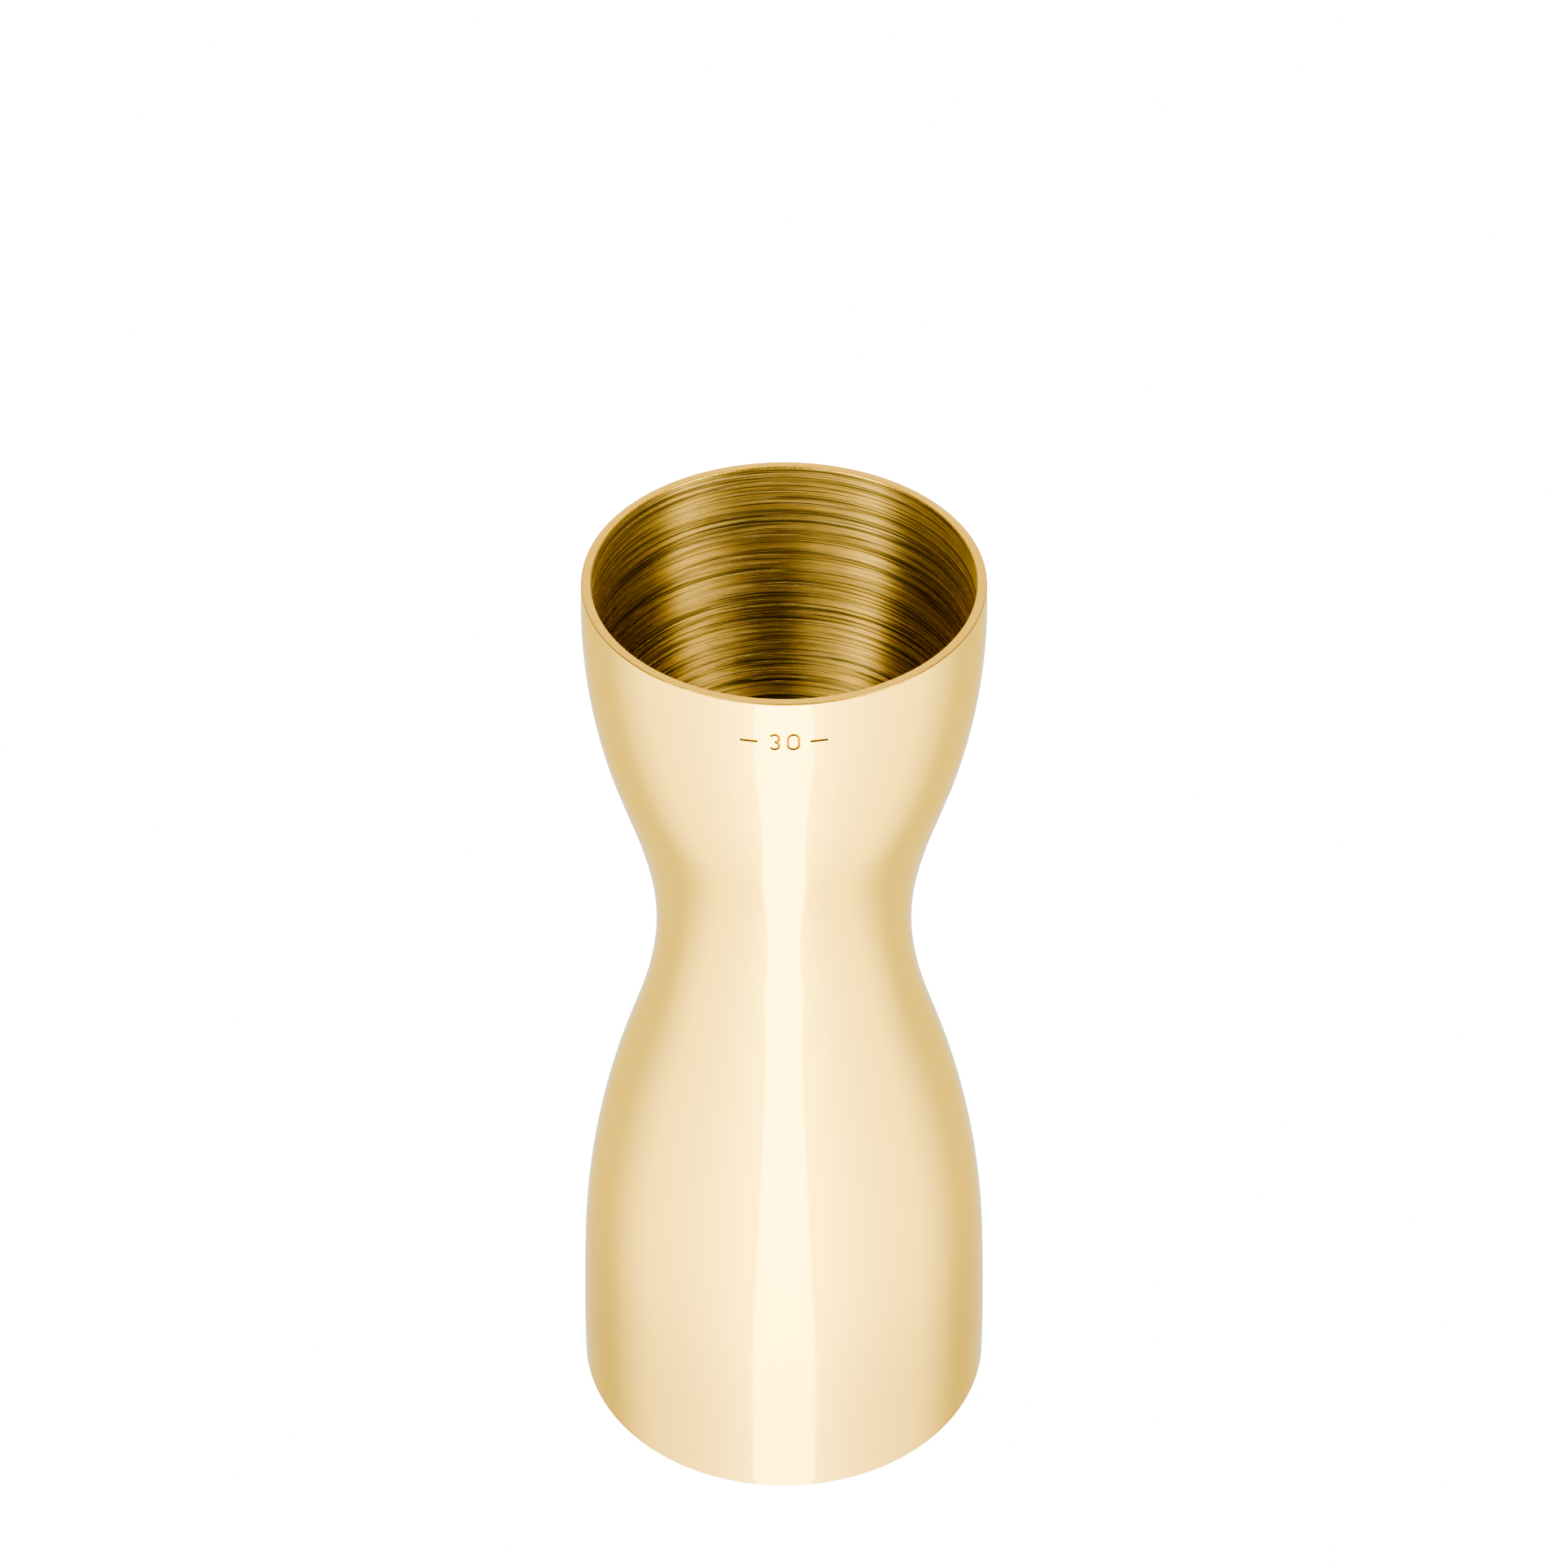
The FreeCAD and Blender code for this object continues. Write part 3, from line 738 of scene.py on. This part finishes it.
# %% Satin rim
satin, tree, shader = new_finish("satin_gold_rim")
place = node(tree, "ShaderNodeTexCoord").outputs["Object"]
grit = node(tree, "ShaderNodeTexNoise", Vector=place, Scale=1 / (0.12 * MM), Detail=2.0)
rubbed = node(tree, "ShaderNodeMix", COLOURS, _0=grit, _6=linear("F0C35A"), _7=linear("E8B950"))
tree.links.new(rubbed.outputs[2], shader.inputs["Base Color"])
sheen = node(
    tree, "ShaderNodeMapRange", SMOOTH, Value=grit, From_Min=0.3, From_Max=0.7, To_Min=0.24,
    To_Max=0.34)
tree.links.new(sheen.outputs[0], shader.inputs["Roughness"])
facing = node(tree, "ShaderNodeBump", Height=grit, Strength=0.3, Distance=0.003 * MM)
tree.links.new(facing.outputs[0], shader.inputs["Normal"])

# %% [markdown]
# ### Brushed gold inside
#
# The inside was brushed with a coarse wheel on a spindle. Its scratches run round the cup, one to
# two centimetres long, with a few bright deep ones among them. Real ones are finer than 0.1 mm;
# these are drawn five or six to a millimetre, and with a deep bump, so that they show. Light that
# falls on them spreads up and down only, so a soft box shows as a tall bright band. The spread is
# anisotropy about a tangent that is turned upright, and the bump tips it from line to line. The
# colour holds painted light as well: each line runs from a dark brown painted shade, for the shade
# in its groove, to a pale gold, and the deep ones get a painted glint of near-white gold. So the
# inside is darker than the plate outside, though it is one plate.

# %% Brushed gold inside
brushed, tree, shader = new_finish("brushed_gold_inside")
lines = wheel_lines(tree, around=0.9, per_mm=5.5, detail=4.0, seed=3.1)
deep_lines = wheel_lines(tree, around=1.2, per_mm=6.5, detail=2.0, seed=12.3)
deep = node(
    tree, "ShaderNodeMapRange", SMOOTH, Value=deep_lines, From_Min=0.57, From_Max=0.64,
    To_Min=0.0, To_Max=1.0)
painted_groove_shade = node(
    tree, "ShaderNodeMapRange", SMOOTH, Value=lines, From_Min=0.36, From_Max=0.60, To_Min=0.0,
    To_Max=1.0)
# painted shade: the dark end of this mix stands for the shade in the grooves of the scratches
ground = node(tree, "ShaderNodeMix", COLOURS, _0=painted_groove_shade, _6=linear("7C6832"), _7=linear("F0CC70"))
# painted glint: the deep scratches are coloured a near-white gold, as a painted highlight
shine = node(tree, "ShaderNodeMath", MULTIPLY, _0=deep, _1=0.8)
bright = node(
    tree, "ShaderNodeMix", COLOURS, _0=shine, _6=ground.outputs[2], _7=linear("FFE596"))
tree.links.new(bright.outputs[2], shader.inputs["Base Color"])
spread = node(
    tree, "ShaderNodeMapRange", SMOOTH, Value=lines, From_Min=0.3, From_Max=0.7, To_Min=0.46,
    To_Max=0.56)
tree.links.new(spread.outputs[0], shader.inputs["Roughness"])
shader.inputs["Anisotropic"].default_value = 1.0
shader.inputs["Anisotropic Rotation"].default_value = 0.25
tangent = node(tree, "ShaderNodeTangent", {"direction_type": "RADIAL", "axis": "Z"})
tree.links.new(tangent.outputs[0], shader.inputs["Tangent"])
raised = node(tree, "ShaderNodeMath", MULTIPLY, _0=deep, _1=0.6)
scratches = node(tree, "ShaderNodeMath", ADD, _0=lines, _1=raised)
brushing = node(tree, "ShaderNodeBump", Height=scratches, Strength=1.0, Distance=0.035 * MM)
tree.links.new(brushing.outputs[0], shader.inputs["Normal"])
shader.inputs["Specular Tint"].default_value = linear("FFF0B0")

# %% [markdown]
# ### Engraved mark
#
# The cut was plated but never polished. The cutter left chatter about 0.05 mm long, so the mark is
# matt. Its colour is a darker gold, a painted shade for the cut, so it looks darker than the mirror
# round it.

# %% Engraved mark
engraved, tree, shader = new_finish("matt_gold_engraving")
place = node(tree, "ShaderNodeTexCoord").outputs["Object"]
chatter = node(tree, "ShaderNodeTexNoise", Vector=place, Scale=1 / (0.05 * MM), Detail=2.0)
# painted shade: the cut is coloured a darker gold than the plate, for the shade in its groove
cut = node(tree, "ShaderNodeMix", COLOURS, _0=chatter, _6=linear("A8792F"), _7=linear("94692A"))
tree.links.new(cut.outputs[2], shader.inputs["Base Color"])
matt = node(
    tree, "ShaderNodeMapRange", SMOOTH, Value=chatter, From_Min=0.3, From_Max=0.7, To_Min=0.35,
    To_Max=0.55)
tree.links.new(matt.outputs[0], shader.inputs["Roughness"])

# %% [markdown]
# ## Which face has which finish
#
# A cup has its mirror on every face that looks away from the axis, satin on the rim, and brushing
# on every face that looks inwards and on the floor inside. The faces of the mark lie a little under
# the bell's surface.

# %% Give the faces their finish
FINISHES = (polished, satin, brushed, engraved)
POLISHED, SATIN, BRUSHED, ENGRAVED = range(len(FINISHES))
INNER_SATIN, LOOKS_INWARDS, LOOKS_ALONG = 0.4 * RIM_ROUND, -0.05, 0.9
MARK_REACH, MARK_SKIN = 5.0 * MM, 0.02 * MM


def finish_cup(piece, rim, floor_way):
    """Sorts a cup's faces. floor_way is 1 where the inside of the floor looks up, or -1."""
    for material in FINISHES:
        piece.data.materials.append(material)
    for face in piece.data.polygons:
        centre, normal = face.center, face.normal
        outward = (centre.x * normal.x + centre.y * normal.y) / centre.xy.length
        rim_depth = INNER_SATIN if outward < 0 else LIP_ROUND
        if abs(centre.z - rim) < rim_depth:
            face.material_index = SATIN
        elif outward < LOOKS_INWARDS or normal.z * floor_way > LOOKS_ALONG:
            face.material_index = BRUSHED
        else:
            face.material_index = POLISHED


def finish_mark(piece):
    """Finds the faces of the cut, which are under the bell's surface near the mark."""
    for face in piece.data.polygons:
        centre = face.center
        in_reach = abs(centre.x) < MARK_REACH and abs(centre.z - MARK_HEIGHT) < DIGIT_HEIGHT
        if centre.y > 0 or not in_reach:
            continue
        depth = on_arc(BELL_CENTRE, BELL_CURVE, centre.z) - centre.xy.length
        if MARK_SKIN < depth < MARK_DEPTH + MARK_SKIN:
            face.material_index = ENGRAVED


finish_cup(lower_cup, FOOT, -1)
finish_cup(upper_cup, HEIGHT, 1)
finish_mark(upper_cup)
for piece in (waist_collar, lower_weld, upper_weld):
    piece.data.materials.append(polished)
for piece in (lower_cup, upper_cup):
    indices = [face.material_index for face in piece.data.polygons]
    print(piece.name, "faces by finish:", [indices.count(index) for index in range(len(FINISHES))])

# %% [markdown]
# ## Join the frame
#
# Nothing on a jigger moves, so every piece rides on the one body, and each takes the place of its
# node in the frame.

# %% Ride
PIECES = {
    "lower_cup": (lower_cup, "plated_cup"),
    "upper_cup": (upper_cup, "plated_cup"),
    "waist_collar": (waist_collar, "plated_collar"),
    "lower_seam_weld": (lower_weld, "plated_weld"),
    "upper_seam_weld": (upper_weld, "plated_weld"),
}
for node_name, (piece, slot) in PIECES.items():
    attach(piece, "root")
    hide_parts(node_name)
